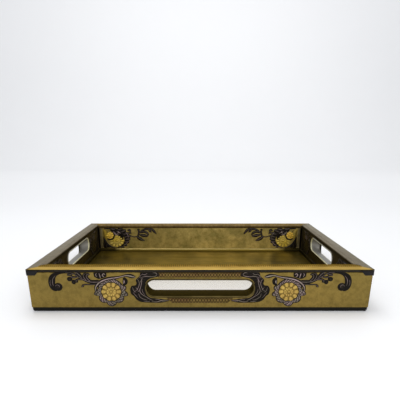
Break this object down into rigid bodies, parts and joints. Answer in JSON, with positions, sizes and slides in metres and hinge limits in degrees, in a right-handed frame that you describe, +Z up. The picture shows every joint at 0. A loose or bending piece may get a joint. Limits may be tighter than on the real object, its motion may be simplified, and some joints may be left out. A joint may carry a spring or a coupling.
{
  "type": "serving tray",
  "caption": "Rectangular brass-clad serving tray with leaning walls, hand holes in the front and both ends, a reeded rim, a black base and blackened repousse flowers and scrolls.",
  "frame": {"origin": "centre of the footprint, on the surface that the tray stands on", "axes": "+X along the length to the right, +Y from the front wall to the back wall, +Z up"},
  "size_m": [0.45, 0.3, 0.06],
  "materials": {
    "outer_brass": "antique patina, mottled, with blackened repousse ornament",
    "inner_brass": "antique patina, mottled, with blackened repousse ornament",
    "floor_brass": "polished, with a warm patina",
    "rim_brass": "bright satin",
    "reed_brass": "reeded, dark between the reeds",
    "bead_brass": "bright satin",
    "liner_brass": "satin, bright along the lip",
    "corner_black": "satin black",
    "base_black": "black paint, satin",
    "core_wood": "black stained board",
    "spline_wood": "plain hardwood",
    "screw_steel": "plain zinc"
  },
  "bodies": {
    "root": {"front_outer_sheet": "outer_brass", "right_outer_sheet": "outer_brass", "back_outer_sheet": "outer_brass", "left_outer_sheet": "outer_brass", "front_inner_sheet": "inner_brass", "right_inner_sheet": "inner_brass", "back_inner_sheet": "inner_brass", "left_inner_sheet": "inner_brass", "floor_sheet": "floor_brass", "front_rim_cap": "rim_brass", "right_rim_cap": "rim_brass", "back_rim_cap": "rim_brass", "left_rim_cap": "rim_brass", "front_rim_reed": "reed_brass", "right_rim_reed": "reed_brass", "back_rim_reed": "reed_brass", "left_rim_reed": "reed_brass", "front_floor_bead": "bead_brass", "right_floor_bead": "bead_brass", "back_floor_bead": "bead_brass", "left_floor_bead": "bead_brass", "front_left_inner_strip": "bead_brass", "front_right_inner_strip": "bead_brass", "back_right_inner_strip": "bead_brass", "back_left_inner_strip": "bead_brass", "front_grip_liner": "liner_brass", "right_grip_liner": "liner_brass", "left_grip_liner": "liner_brass", "front_left_corner_cap": "corner_black", "front_right_corner_cap": "corner_black", "back_right_corner_cap": "corner_black", "back_left_corner_cap": "corner_black", "base_board": "base_black", "front_wall_core": "core_wood", "right_wall_core": "core_wood", "back_wall_core": "core_wood", "left_wall_core": "core_wood", "front_left_spline": "spline_wood", "front_right_spline": "spline_wood", "back_right_spline": "spline_wood", "back_left_spline": "spline_wood", "front_base_screw_1": "screw_steel", "front_base_screw_2": "screw_steel", "front_base_screw_3": "screw_steel", "front_base_screw_4": "screw_steel", "right_base_screw_1": "screw_steel", "right_base_screw_2": "screw_steel", "back_base_screw_1": "screw_steel", "back_base_screw_2": "screw_steel", "back_base_screw_3": "screw_steel", "back_base_screw_4": "screw_steel", "left_base_screw_1": "screw_steel", "left_base_screw_2": "screw_steel"}
  },
  "joints": []
}
